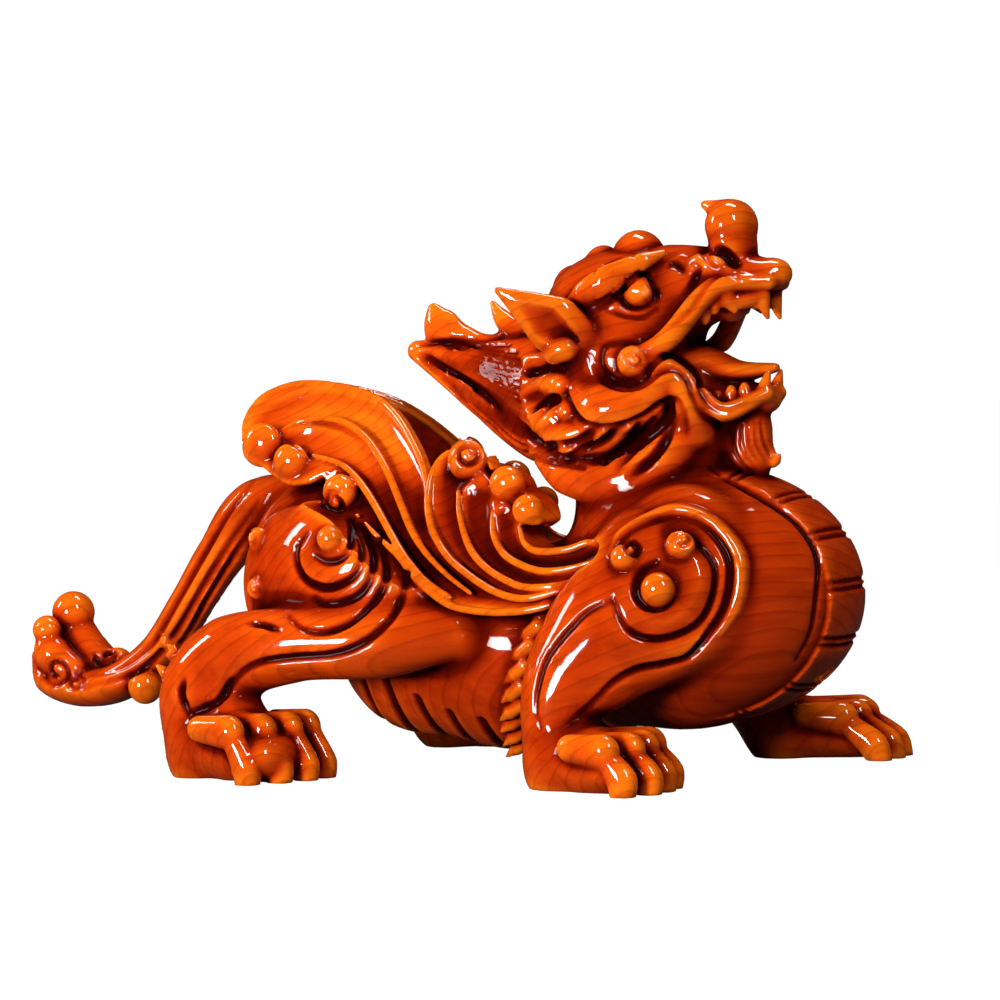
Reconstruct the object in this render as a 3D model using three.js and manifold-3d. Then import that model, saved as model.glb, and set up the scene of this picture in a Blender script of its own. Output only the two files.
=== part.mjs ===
// A pixiu, the winged lion-dragon of Chinese carving, cut from one block of hardwood.
// It crouches on four paws with its head raised and its jaws open, a horn laid back along its mane,
// a fan of curled plumes on each flank and a tail that sweeps down behind it.
// Millimetres. +X runs from tail to head, +Z is up, and -Y is the figure's right side.
// The origin is on the ground, under the middle of the figure.
import * as THREE from "three";
import { mergeVertices } from "three/addons/utils/BufferGeometryUtils.js";
import Module from "manifold-3d";

const wasm = await Module();
wasm.setup();

// Driving dimensions.
const CHEST = { centre: [135, 0, 73], radii: [62, 57, 52] };
const PLATES = { half: 19, proud: 2.5, sunk: 5, gap: 2.5 }; // the plated band down the middle of the chest
const PLATE_JOINTS = [88, 70, 49, 27, 3, -23, -48, -72, -95]; // degrees above level, at the chest's centre
const STRIDE = { fore: 40, hind: 50, top: 80 }; // how far the left paws stand ahead, and where that ends
const WING = { z: 70, y: 56, lean: 0.42 }; // its lower edge, and how far it leans in for each millimetre up
const WING_TOP = { z: 120, bend: 0.006 }; // the height from which it also bends in
const WING_BACK = { thin: 9, thick: 28, from: 75, to: 125 }; // its thickness, thinning between two heights
const WING_GAP = 2.5; // each wing's least distance from the middle
const WING_SWEEP = { front: 30, back: 6, root: 116, run: 28 }; // how far the left plumes lie further back
const PLUME = [[0, 0], [0.3, 3.5]]; // a plume's section: share of its width, and height over the grooves
const RIGHT = -1;
const LEFT = 1;
const WELD = 1; // edges shorter than this may close where pieces join

// A three.js geometry as a solid that can be joined and cut.
function solid(geometry) {
  const bare = geometry.clone();
  bare.deleteAttribute("normal");
  bare.deleteAttribute("uv");
  const merged = mergeVertices(bare, 1e-3);
  return new wasm.Manifold(
    new wasm.Mesh({
      numProp: 3,
      tolerance: WELD,
      vertProperties: new Float32Array(merged.attributes.position.array),
      triVerts: new Uint32Array(merged.index.array),
    }),
  );
}

function join(...pieces) {
  return pieces.flat(Infinity).reduce((all, piece) => all.add(piece));
}

// A solid as a geometry for a mesh.
function geometryOf(body) {
  const mesh = body.getMesh();
  const geometry = new THREE.BufferGeometry();
  geometry.setAttribute("position", new THREE.BufferAttribute(mesh.vertProperties, 3));
  geometry.setIndex(new THREE.BufferAttribute(mesh.triVerts, 1));
  geometry.computeVertexNormals();
  return geometry;
}

// An ellipsoid, turned by pitch degrees about Y.
function lump(centre, radii, { pitch = 0, sides = 8, rings = 5 } = {}) {
  const ball = new THREE.SphereGeometry(1, sides, rings);
  ball.rotateX(Math.PI / 2);
  ball.scale(...radii);
  ball.rotateY(THREE.MathUtils.degToRad(pitch));
  ball.translate(...centre);
  return solid(ball);
}

// The value of a list of numbers at share t of the way along it.
function along(list, t) {
  const place = t * (list.length - 1);
  const low = Math.min(Math.floor(place), list.length - 2);
  return THREE.MathUtils.lerp(list[low], list[low + 1], place - low);
}

// A limb along a smooth line from the first point to the last, its ends drawn in to a point. wide gives its
// half-width at places spread evenly over those points, and thick its half-thickness towards the Y axis.
function limb(points, wide, { thick = wide, sides = 6 } = {}) {
  const path = new THREE.CatmullRomCurve3(points.map((p) => new THREE.Vector3(...p)));
  const length = path.getLength();
  const ends = [wide[0], wide.at(-1)].map((half) => Math.min((0.6 * half) / length, 0.3));
  const spans = points.length - 1;
  const stations = [0];
  for (let i = 0; i <= spans; i++) stations.push(THREE.MathUtils.lerp(ends[0], 1 - ends[1], i / spans));
  stations.push(1);

  const rings = stations.length - 1;
  const tube = new THREE.SphereGeometry(1, sides, rings);
  const place = tube.attributes.position;
  for (let ring = 0; ring <= rings; ring++) {
    const t = path.getUtoTmapping(stations[ring]);
    const centre = path.getPoint(t);
    const tangent = path.getTangent(t);
    const normal = new THREE.Vector3(0, 1, 0).projectOnPlane(tangent).normalize();
    const across = new THREE.Vector3().crossVectors(tangent, normal);
    const size = ring === 0 || ring === rings ? 0 : ring === 1 || ring === rings - 1 ? 0.85 : 1;
    for (let i = 0; i <= sides; i++) {
      const turn = (2 * Math.PI * (i % sides)) / sides;
      const point = centre
        .clone()
        .addScaledVector(across, Math.cos(turn) * along(wide, t) * size)
        .addScaledVector(normal, Math.sin(turn) * along(thick, t) * size);
      place.setXYZ(ring * (sides + 1) + i, point.x, point.y, point.z);
    }
  }
  return solid(tube);
}

// A box of columns by rows whose every point is put in place by a function of its shares u along, v across
// and w through it. Where that function mirrors the box, mirrored keeps its faces pointing outwards.
function sheet(columns, rows, put, mirrored = false) {
  const box = new THREE.BoxGeometry(1, 1, 1, columns, rows, 1);
  const place = box.attributes.position;
  for (let i = 0; i < place.count; i++) {
    const u = place.getX(i) + 0.5;
    place.setXYZ(i, ...put(mirrored ? 1 - u : u, place.getY(i) + 0.5, place.getZ(i) + 0.5));
  }
  return solid(box);
}

// Points on one side of the figure, given with their distance from the middle as y.
function onSide(side, points) {
  return points.map(([x, y, z]) => [x, side * y, z]);
}

// Points of a leg, moved forward by the stride of the left legs, the more the nearer they are to the ground.
function striding(side, points, stride = STRIDE.fore) {
  const lead = side === LEFT ? stride : 0;
  return points.map(([x, y, z]) => [x + lead * THREE.MathUtils.clamp(1 - z / STRIDE.top, 0, 1), side * y, z]);
}

// A curl in x and z that winds in from radius, starting at an angle in degrees, through a number of turns.
// Seen from the figure's right side it runs counter-clockwise, or clockwise where turns is negative.
function curl(centre, radius, start, turns, count = 5) {
  return Array.from({ length: count }, (_, i) => {
    const share = i / (count - 1);
    const angle = THREE.MathUtils.degToRad(start + 360 * turns * share);
    const reach = radius * (1 - 0.8 * share);
    return [centre[0] + reach * Math.cos(angle), centre[1] + reach * Math.sin(angle)];
  });
}

function trunk() {
  return [
    lump(CHEST.centre, CHEST.radii, { sides: 14, rings: 9 }),
    lump([52, 0, 50], [66, 45, 43], { sides: 12, rings: 7 }),
    lump([10, 0, 64], [52, 40, 42], { sides: 12, rings: 7 }),
    lump([-33, 0, 85], [42, 45, 40], { sides: 12, rings: 7 }),
    lump([3, 0, 43], [36, 28, 31], { sides: 7 }),
    limb([[136, 0, 50], [124, 0, 84], [110, 0, 116], [104, 0, 144], [102, 0, 180]], [40, 36, 32, 30, 28],
      { sides: 8 }),
  ];
}

// The plates of the chest, each one a curved tile between two joints.
function chestPlates() {
  const [x, , z] = CHEST.centre;
  const gap = PLATES.gap / CHEST.radii[2];
  return PLATE_JOINTS.slice(1).map((degrees, i) => {
    const from = THREE.MathUtils.degToRad(PLATE_JOINTS[i]) - gap / 2;
    const to = THREE.MathUtils.degToRad(degrees) + gap / 2;
    return sheet(2, 2, (u, v, w) => {
      const angle = THREE.MathUtils.lerp(to, from, u);
      const y = PLATES.half * (2 * v - 1);
      const ring = Math.sqrt(1 - (y / CHEST.radii[1]) ** 2);
      const out = w > 0.5 ? PLATES.proud : -PLATES.sunk;
      return [
        x + (CHEST.radii[0] * ring + out) * Math.cos(angle),
        y,
        z + (CHEST.radii[2] * ring + out) * Math.sin(angle),
      ];
    }, true);
  });
}

// One toe, from its knuckle over to the claw that meets the ground.
function toe(side, x, y, height, stride) {
  return limb(striding(side, [[x - 26, y - 2, height - 6], [x - 8, y, height - 1], [x - 2, y, -6]], stride),
    [6, 9, 5], { thick: [5, 5.2, 4.5], sides: 5 });
}

function foreleg(side) {
  const arm = limb(striding(side, [[142, 38, 102], [134, 49, 76], [114, 56, 57], [99, 61, 36], [96, 64, 6]]),
    [22, 36, 26, 17, 15], { thick: [12, 16, 18, 17, 15], sides: 7 });
  const paw = limb(striding(side, [[82, 63, 8], [99, 65, 10], [119, 70, 10], [138, 73, 8]]),
    [10, 14, 14, 11], { thick: [10, 15, 17, 19] });
  const toes = [[139, 88], [145, 77.5], [146, 67], [144, 56.5]].map(([x, y]) =>
    toe(side, x, y, 19, STRIDE.fore));
  const ring = [[114, 84], [120, 102], [142, 110], [168, 96], [170, 60], [150, 40], [118, 32]];
  return [arm, paw, toes, lump([141, side * 62, 79], [11, 8, 11], { sides: 6, rings: 4 }),
    onShoulder(side, ring, 4), onShoulder(side, curl([141, 79], 20, 60, -0.7), 4)];
}

// A raised roll on the shoulder, along points given as x and z.
function onShoulder(side, points, half) {
  const reach = ([x, z]) => [x, 61 - 0.13 * Math.abs(x - 141) - 0.14 * Math.abs(z - 76), z];
  return limb(onSide(side, points.map(reach)), [half - 1, half, half, half - 1], { sides: 4 });
}

function hindleg(side) {
  const stepping = (points) => striding(side, points, STRIDE.hind);
  const thigh = lump([-7, side * 44, 80], [43, 21, 36], { pitch: 12, sides: 10, rings: 7 });
  const haunch = lump([-38, side * 38, 80], [22, 15, 31], { sides: 6, rings: 4 });
  const shank = limb(
    stepping([[44, 46, 58], [14, 58, 55], [-20, 64, 54], [-52, 66, 48], [-70, 68, 34], [-73, 67, 4]]),
    [12, 16, 16, 18, 17, 13], { thick: [10, 16, 17, 16, 15, 14] });
  const paw = limb(stepping([[-88, 65, 8], [-67, 67, 11], [-44, 72, 13], [-20, 74, 9]]),
    [10, 15, 17, 12], { thick: [10, 14, 17, 20] });
  const toes = [[-28, 91], [-19, 80.5], [-13, 70], [-11, 59.5]].map(([x, y]) =>
    toe(side, x, y, 24, STRIDE.hind));
  const spiral = curl([-8, 94], 14, 200, 1, 6).map(([x, z]) => [x, 66 - 0.25 * Math.abs(z - 80), z]);
  return [thigh, haunch, shank, paw, toes, limb(onSide(side, spiral), [4, 4, 4, 3], { sides: 4 })];
}

// How far the wing's face stands from the middle at height z.
function wingFace(z) {
  return WING.y - WING.lean * (z - WING.z) - WING_TOP.bend * Math.max(z - WING_TOP.z, 0) ** 2;
}

// Points of the plumes, which on the left wing are swept back, the more the further out they are.
function swept(side, sweep, points) {
  const back = side === LEFT ? sweep : 0;
  return points.map(([x, z, ...rest]) =>
    [x - back * THREE.MathUtils.clamp((WING_SWEEP.root - x) / WING_SWEEP.run, 0, 1), z, ...rest]);
}

// A fan of plumes between edges, which are lines of x and z from the shoulder outwards, the lowest one first.
function plumes(side, columns, edges) {
  const lines = edges.map((points) => new THREE.SplineCurve(points.map((p) => new THREE.Vector2(...p))));
  const section = lines.slice(1).flatMap((_, i) => PLUME.map(([share, height]) => [i + share, height]));
  section.push([lines.length - 1, 2]);
  const rows = section.length - 1;
  return sheet(columns, rows, (u, v, w) => {
    const [across, height] = section[Math.round(v * rows)];
    const low = Math.min(Math.floor(across), lines.length - 2);
    const { x, y: z } = lines[low].getPointAt(u).lerp(lines[low + 1].getPointAt(u), across - low);
    const leaving = THREE.MathUtils.smoothstep(z, WING_BACK.from, WING_BACK.to);
    const thickness = THREE.MathUtils.lerp(WING_BACK.thick, WING_BACK.thin, leaving);
    const y = w > 0.5 ? wingFace(z) + height : Math.max(wingFace(z) - thickness, WING_GAP);
    return [x, side * y, z];
  }, side === RIGHT);
}

function wing(side) {
  const lower = [[116, 76], [94, 74], [72, 68], [46, 71], [23, 84], [6, 99], [-8, 110], [-19, 118]];
  const second = [[116, 78], [94, 76], [71, 72], [50, 74], [31, 84], [9, 101], [-9, 120], [-34, 134]];
  const third = [[116, 80], [94, 77], [72, 74], [53, 77], [30, 91], [12, 111], [-8, 138], [-31, 147],
    [-53, 138]];
  const top = [[116, 83], [93, 80], [73, 79], [54, 83], [35, 96], [24, 121], [8, 143], [-20, 160], [-48, 161],
    [-72, 142]];
  const front = [[116, 80], [93, 77], [72, 76], [50, 79], [30, 93], [22, 116], [32, 137]];
  const fifth = [[116, 83], [97, 81], [80, 81], [62, 87], [46, 101], [47, 125]];
  const sixth = [[116, 85], [99, 84], [83, 87], [67, 92], [58, 101], [64, 116]];
  const upper = [[116, 88], [101, 88], [88, 90], [77, 94], [70, 101], [76, 110]];
  const backScrolls = [[-61, 138, 10], [-42, 131, 9], [-21, 114, 8]];
  const frontScrolls = [[42, 127, 11], [61, 116, 10], [74, 107, 8]];
  const back = (points) => swept(side, WING_SWEEP.back, points);
  const ahead = (points) => swept(side, WING_SWEEP.front, points);
  return [
    plumes(side, 8, [lower, second, third, top].map(back)),
    plumes(side, 5, [front, fifth, sixth, upper].map(ahead)),
    [...back(backScrolls), ...ahead(frontScrolls)].map(([x, z, radius]) =>
      lump([x, side * (wingFace(z) - 2), z], [radius, 8, radius], { sides: 6, rings: 4 })),
  ];
}

function tail() {
  return [
    limb([[-40, 0, 112], [-80, 0, 109], [-101, 0, 87], [-116, 0, 65], [-132, 0, 45], [-153, 0, 32],
      [-174, 0, 29], [-189, 0, 33], [-197, 0, 45]],
      [13, 12, 10, 9, 9, 10, 9, 8, 5], { thick: [14, 13, 12, 12, 12, 14, 16, 14, 8] }),
    limb([[-158, 5, 30], [-170, 5, 44], [-176, 5, 64]], [6, 9, 9]),
    limb([[-172, -6, 34], [-186, -7, 46], [-192, -7, 57]], [6, 8, 6], { sides: 5 }),
    lump([-154, 7, 40], [9, 9, 9], { sides: 6, rings: 4 }),
    lump([-134, -8, 32], [7, 8, 8], { sides: 6, rings: 4 }),
  ];
}

// The skull and both jaws, with the open mouth cut out between them.
function jaws() {
  const head = [
    lump([99, 0, 186], [35, 32, 29], { sides: 12, rings: 7 }),
    limb([[90, 0, 188], [122, 0, 193], [148, 0, 197], [173, 0, 200]], [22, 19, 12, 6],
      { thick: [26, 22, 17, 9] }),
    limb([[80, 0, 154], [107, 0, 149], [140, 0, 148], [169, 0, 153]], [18, 20, 11, 6],
      { thick: [26, 28, 17, 8] }),
  ];
  const corners = [[118, 163], [215, 151], [215, 199], [153, 184], [132, 173]];
  const gape = new THREE.ExtrudeGeometry(new THREE.Shape(corners.map((c) => new THREE.Vector2(...c))),
    { depth: 80, bevelEnabled: false });
  gape.rotateX(Math.PI / 2);
  gape.translate(0, 40, 0);
  return join(head).subtract(solid(gape));
}

function mouth() {
  return [
    limb([[110, 0, 158], [133, 0, 163], [153, 0, 158], [170, 0, 162]], [9, 6, 5, 2],
      { thick: [12, 12, 9, 3] }),
    lump([164, 0, 150], [7, 9, 6], { sides: 6, rings: 4 }),
    limb([[153, 0, 156], [158, 0, 140], [157, 0, 128], [168, 0, 127]], [5, 8, 8, 3], { thick: [6, 9, 8, 3] }),
  ];
}

function nose() {
  return [
    limb([[147, 0, 188], [148, 0, 204], [149, 0, 214], [146, 0, 224], [135, 0, 229]], [8, 10, 10, 8, 3],
      { thick: [11, 13, 13, 11, 6] }),
    lump([165, 0, 200], [8, 9, 6], { sides: 6, rings: 4 }),
  ];
}

function faceSide(side) {
  const trace = (points, wide, options) => limb(onSide(side, points), wide, options);
  const bead = ([x, y, z], radii) => lump([x, side * y, z], radii, { sides: 6, rings: 3 });
  return [
    lump([102, side * 22, 165], [23, 13, 21]),
    trace([[84, 22, 158], [106, 33, 148], [120, 31, 151], [132, 28, 159], [139, 25, 150], [140, 18, 136]],
      [8, 11, 10, 7, 6, 5], { sides: 5 }),
    trace([[112, 31, 161], [130, 30, 165], [142, 22, 152], [151, 17, 145], [167, 6, 153]], [3, 4, 4, 4, 3],
      { sides: 4 }),
    trace([[118, 30, 168], [131, 27, 174], [144, 18, 193], [153, 16, 197], [169, 6, 195]], [4, 5, 5, 5, 3],
      { sides: 4 }),
    bead([119, 33, 167], [7, 6, 7]),
    bead([146, 12, 204], [9, 6, 6]),
    bead([117, 25, 195], [6, 6, 6]),
    trace([[86, 26, 190], [107, 33, 196], [126, 19, 209]], [5, 8, 5]),
    trace([[100, 28, 170], [87, 38, 184], [66, 46, 199]], [7, 12, 2], { thick: [4, 5, 2], sides: 5 }),
    trace([[157, 12, 201], [160, 14, 193], [165, 14, 182]], [5, 4, 2], { sides: 4 }),
    trace([[167, 5, 200], [169, 7, 190], [170, 7, 180]], [4, 4, 2], { sides: 4 }),
    trace([[164, 5, 150], [169, 6, 158], [171, 6, 167]], [4, 3, 2], { sides: 4 }),
    trace([[140, 18, 142], [126, 25, 125], [106, 27, 115], [85, 26, 121], [64, 18, 136]], [5, 8, 9, 9, 3],
      { thick: [5, 7, 8, 7, 3] }),
    trace([[108, 29, 140], [90, 32, 136], [74, 26, 144], [56, 17, 151]], [7, 8, 6, 2], { sides: 5 }),
  ];
}

function crown() {
  return [
    lump([107, 0, 206], [12, 14, 13], { sides: 6 }),
    lump([91, 0, 201], [12, 13, 11], { sides: 6 }),
    lump([77, 0, 195], [13, 12, 11], { sides: 6 }),
  ];
}

function mane() {
  return [
    limb([[120, 0, 143], [94, 0, 150], [68, 0, 153], [44, 0, 160], [24, 0, 167], [0, 0, 175]],
      [30, 30, 30, 20, 11, 3], { thick: [30, 30, 24, 14, 8, 3], sides: 8 }),
    limb([[84, 0, 194], [60, 0, 184], [40, 0, 176], [24, 0, 177], [14, 0, 184], [9, 0, 195]],
      [10, 9, 8, 9, 9, 6]),
    limb([[56, 0, 180], [45, 0, 187], [38, 0, 196]], [5, 5, 3], { sides: 5 }),
  ];
}

const ground = new THREE.BoxGeometry(600, 400, 100);
ground.translate(0, 0, -50);
const carving = join(
  trunk(),
  chestPlates(),
  [RIGHT, LEFT].map((side) => [foreleg(side), hindleg(side), wing(side), faceSide(side)]),
  tail(),
  jaws(),
  mouth(),
  nose(),
  crown(),
  mane(),
).subtract(solid(ground));

const figure = new THREE.Group();
const wood = new THREE.MeshStandardMaterial({ color: 0xa8430f, roughness: 0.2, metalness: 0 });
const pixiu = new THREE.Mesh(geometryOf(carving), wood);
pixiu.name = "pixiu";
figure.add(pixiu);

export default figure;
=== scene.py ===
from math import cos, radians, sin

import bpy
import numpy as np
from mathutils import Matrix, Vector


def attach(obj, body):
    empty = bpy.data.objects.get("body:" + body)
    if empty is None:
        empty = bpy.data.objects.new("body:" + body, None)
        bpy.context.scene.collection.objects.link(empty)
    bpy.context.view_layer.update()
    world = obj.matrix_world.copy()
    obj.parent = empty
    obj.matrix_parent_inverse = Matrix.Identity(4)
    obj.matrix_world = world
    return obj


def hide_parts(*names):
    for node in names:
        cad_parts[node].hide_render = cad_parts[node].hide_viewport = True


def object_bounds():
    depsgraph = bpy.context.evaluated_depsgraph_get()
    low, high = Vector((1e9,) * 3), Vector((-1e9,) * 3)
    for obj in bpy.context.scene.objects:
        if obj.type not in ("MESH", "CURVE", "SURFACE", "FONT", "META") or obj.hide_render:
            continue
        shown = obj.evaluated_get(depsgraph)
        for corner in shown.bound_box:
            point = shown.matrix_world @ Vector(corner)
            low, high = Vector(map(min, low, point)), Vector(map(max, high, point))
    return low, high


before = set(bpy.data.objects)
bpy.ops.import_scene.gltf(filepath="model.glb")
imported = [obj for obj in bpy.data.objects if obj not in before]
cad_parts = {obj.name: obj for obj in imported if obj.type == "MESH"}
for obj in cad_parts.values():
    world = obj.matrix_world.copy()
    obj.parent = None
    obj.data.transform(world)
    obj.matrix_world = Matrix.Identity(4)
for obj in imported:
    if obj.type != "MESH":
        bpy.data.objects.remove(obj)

import openvdb
from mathutils import Euler, Quaternion, Vector

# The statue is one piece of wood, so one mesh stands for the node pixiu. It is made here as a carver would:
# broad forms first, then the curls, plates, locks and grooves that are cut into them.
# Carving works in millimetres in the frame's axes, and the finished mesh is in metres.
# Lists in capitals whose points have two numbers are pixels of the photograph, apart from those of the
# toes and the mouth. They are carried onto the wood that the photograph's camera sees there, and mirrored
# to the figure's other flank.

CAD_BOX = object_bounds()

MM = 0.001
VOXEL = 0.85
MOST_TRIANGLES = 194000
FAR = 24.0
RIGHT, LEFT = -1, 1
MIRROR = np.array([1.0, -1.0, 1.0])

CAMERA_TARGET = np.array([40.0, 0.0, 111.0])
CAMERA_AZIMUTH, CAMERA_ELEVATION, CAMERA_ROLL = 28.0, 2.0, 1.5
CAMERA_DISTANCE = 1500.0
FIGURE_REACH = 260.0
FOCAL_PIXELS = 3600.0
PHOTO_PIXELS = 1000.0


def camera_axes():
    """The camera's place, and the directions to its right, up and back."""
    azimuth, elevation, roll = (radians(a) for a in (CAMERA_AZIMUTH, CAMERA_ELEVATION, CAMERA_ROLL))
    back = np.array([sin(azimuth) * cos(elevation), -cos(azimuth) * cos(elevation), sin(elevation)])
    level = np.array([cos(azimuth), sin(azimuth), 0.0])
    upright = np.cross(back, level)
    right = level * cos(roll) - upright * sin(roll)
    up = upright * cos(roll) + level * sin(roll)
    return CAMERA_TARGET + CAMERA_DISTANCE * back, right, up, back


EYE, EYE_RIGHT, EYE_UP, EYE_BACK = camera_axes()


def smallest(a, b, blend):
    """The smaller of two distances, rounded over blend where they cross."""
    near = np.maximum(blend - np.abs(a - b), 0)
    return np.minimum(a, b) - near * near * (0.25 / blend)


class Block:
    """The block of wood: on a grid, the distance to its surface, negative inside it."""

    def __init__(self, low, high):
        self.low = np.array(low, np.float32)
        self.shape = np.ceil((np.array(high) - low) / VOXEL).astype(int) + 1
        self.field = np.full(self.shape, FAR, np.float32)

    def window(self, low, high):
        """The part of the grid from low to high, and the coordinates in it."""
        start = np.clip(np.floor((low - self.low) / VOXEL), 0, self.shape - 1).astype(int)
        stop = np.clip(np.ceil((high - self.low) / VOXEL) + 1, start + 1, self.shape).astype(int)
        part = tuple(slice(a, b) for a, b in zip(start, stop))
        axes = [(self.low[k] + VOXEL * np.arange(start[k], stop[k])).astype(np.float32) for k in range(3)]
        return part, np.meshgrid(*axes, indexing="ij", sparse=True)

    def apply(self, part, distance, blend, cut):
        """Adds a shape to a part of the grid, or cuts it out, rounded over blend where it joins."""
        if cut:
            self.field[part] = -smallest(-self.field[part], distance, blend)
        else:
            self.field[part] = smallest(self.field[part], distance, blend)

    def at(self, points, field=None):
        """The distances at points, between the grid's own."""
        field = self.field if field is None else field
        place = (np.asarray(points, np.float32) - self.low) / VOXEL
        place = np.clip(place, 0, self.shape - 1.001)
        base = place.astype(int)
        share = place - base
        value = 0
        for corner in np.ndindex(2, 2, 2):
            weight = np.prod(np.where(corner, share, 1 - share), axis=-1)
            value = value + weight * field[tuple(np.moveaxis(base + corner, -1, 0))]
        return value

    def normals(self, points, reach=1.5):
        """The directions out of the wood at points, taken over reach voxels."""
        points = np.asarray(points, np.float32)
        steps = np.eye(3, dtype=np.float32) * reach * VOXEL
        slope = np.stack([self.at(points + step) - self.at(points - step) for step in steps], -1)
        return slope / np.maximum(np.linalg.norm(slope, axis=-1, keepdims=True), 1e-6)

    def hit(self, starts, directions, reach, step=0.6):
        """Where lines from starts along directions first meet the wood, or pass nearest to it."""
        travel = np.arange(0, reach, step)
        values = self.at(starts[:, None] + travel[:, None] * directions[:, None])
        inside = values < 0
        first = np.maximum(inside.argmax(axis=1), 1)
        rows = np.arange(len(values))
        before, after = values[rows, first - 1], values[rows, first]
        meet = travel[first] - step * after / np.minimum(after - before, -1e-6)
        nearest = travel[values.argmin(axis=1)]
        return starts + directions * np.where(inside.any(axis=1), meet, nearest)[:, None]


wood = Block([-206, -103, -5], [206, 103, 240])


def spline(points, step):
    """Points about step apart on a smooth line through the given ones, and each one's place among them."""
    p = np.asarray(points, float)
    p = np.vstack([2 * p[0] - p[1], p, 2 * p[-1] - p[-2]])
    line, place = [], []
    for i in range(len(p) - 3):
        a, b, c, d = p[i:i + 4]
        count = max(1, int(np.ceil(np.linalg.norm(c - b) / step)))
        t = (np.arange(count) / count)[:, None]
        square, cube = 2 * a - 5 * b + 4 * c - d, 3 * b - a - 3 * c + d
        line.append(0.5 * (2 * b + (c - a) * t + square * t**2 + cube * t**3))
        place.append(i + t[:, 0])
    line.append(p[-2:-1])
    place.append([len(p) - 3.0])
    return np.vstack(line), np.concatenate(place) / (len(p) - 3)


def evenly(line, count):
    """A line as count points that are evenly spaced along it."""
    lengths = np.concatenate([[0], np.cumsum(np.linalg.norm(np.diff(line, axis=0), axis=1))])
    places = np.linspace(0, lengths[-1], count)
    return np.stack([np.interp(places, lengths, line[:, k]) for k in range(line.shape[1])], -1)


def smooth(values, reach=2):
    """Values with each one evened out with its neighbours."""
    padded = np.concatenate([values[:1]] * reach + [values] + [values[-1:]] * reach)
    return np.mean([padded[i:len(padded) - 2 * reach + i] for i in range(2 * reach + 1)], axis=0)


def lump(centre, radii, blend=4.0, pitch=0.0, cut=False):
    """Adds or cuts an ellipsoid, turned by pitch about Y, in degrees."""
    turn = np.array(Euler((0, radians(pitch), 0)).to_matrix())
    radii = np.asarray(radii, float)
    half = np.sqrt(((turn * radii) ** 2).sum(axis=1)) + blend + 2 * VOXEL
    part, (x, y, z) = wood.window(centre - half, centre + half)
    offset = [x - centre[0], y - centre[1], z - centre[2]]
    near, slope = 0, 0
    for k in range(3):
        along = (offset[0] * turn[0, k] + offset[1] * turn[1, k] + offset[2] * turn[2, k]) / radii[k]
        near = near + along * along
        slope = slope + (along / radii[k]) ** 2
    near = np.sqrt(near)
    distance = near * (near - 1) / np.maximum(np.sqrt(slope), 1e-6)
    wood.apply(part, distance.astype(np.float32), blend, cut)


def tube(line, wide, thick=None, blend=3.0, cut=False):
    """Adds or cuts a round bar along a line of points. wide is its half-width at each, and thick, where it
    is not round, its half-thickness along Y."""
    line = np.asarray(line, float)
    wide = np.broadcast_to(np.asarray(wide, float), len(line))
    thick = wide if thick is None else np.broadcast_to(np.asarray(thick, float), len(line))
    round_bar = np.allclose(wide, thick)
    margin = blend + 2 * VOXEL
    reach = np.maximum(wide, thick) + margin
    whole, _ = wood.window(line.min(0) - reach.max(), line.max(0) + reach.max())
    start = np.array([s.start for s in whole])
    bar = np.full([s.stop - s.start for s in whole], FAR, np.float32)
    for i in range(len(line) - 1):
        a, b = line[i], line[i + 1]
        span = b - a
        length = np.linalg.norm(span)
        if length < 1e-6:
            continue
        far = max(reach[i], reach[i + 1])
        part, (x, y, z) = wood.window(np.minimum(a, b) - far, np.maximum(a, b) + far)
        ox, oy, oz = x - a[0], y - a[1], z - a[2]
        share = np.clip((ox * span[0] + oy * span[1] + oz * span[2]) / length**2, 0, 1)
        ox, oy, oz = ox - share * span[0], oy - share * span[1], oz - share * span[2]
        half = wide[i] + (wide[i + 1] - wide[i]) * share
        square = ox * ox + oy * oy + oz * oz
        if round_bar:
            distance = np.sqrt(square) - half
        else:
            ahead = span / length
            side = np.array([0.0, 1.0, 0.0]) - ahead[1] * ahead
            side /= max(np.linalg.norm(side), 1e-3)
            out = (ox * side[0] + oy * side[1] + oz * side[2]) ** 2
            deep = thick[i] + (thick[i + 1] - thick[i]) * share
            rest = np.maximum(square - out, 0)
            near = np.sqrt(out / deep**2 + rest / half**2)
            slope = np.sqrt(out / deep**4 + rest / half**4)
            distance = near * (near - 1) / np.maximum(slope, 1e-6)
        local = tuple(slice(s.start - o, s.stop - o) for s, o in zip(part, start))
        bar[local] = np.minimum(bar[local], distance)
    wood.apply(whole, bar, blend, cut)


def limb(points, wide, thick=None, blend=4.0, cut=False):
    """Adds or cuts a bar along a smooth line. wide and thick are lists spread evenly over its points."""
    line, place = spline(points, np.clip(0.3 * np.max(wide), 1.2, 2.5))
    wide, thick = (None if w is None else np.interp(place, np.linspace(0, 1, np.size(w)), np.atleast_1d(w))
                   for w in (wide, thick))
    tube(line, wide, thick, blend, cut)


def outline_distance(outline, x, z):
    """The distance to a closed outline, given as x and z, negative inside it."""
    square, inside = np.inf, False
    for (ax, az), (bx, bz) in zip(outline, np.roll(outline, -1, axis=0)):
        ex, ez = bx - ax, bz - az
        share = np.clip(((x - ax) * ex + (z - az) * ez) / max(ex * ex + ez * ez, 1e-9), 0, 1)
        square = np.minimum(square, (x - ax - share * ex) ** 2 + (z - az - share * ez) ** 2)
        rise = ez if abs(ez) > 1e-9 else 1e-9
        inside = inside ^ (((az > z) != (bz > z)) & (x < (z - az) * ex / rise + ax))
    return np.where(inside, -1, 1) * np.sqrt(square)


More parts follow.
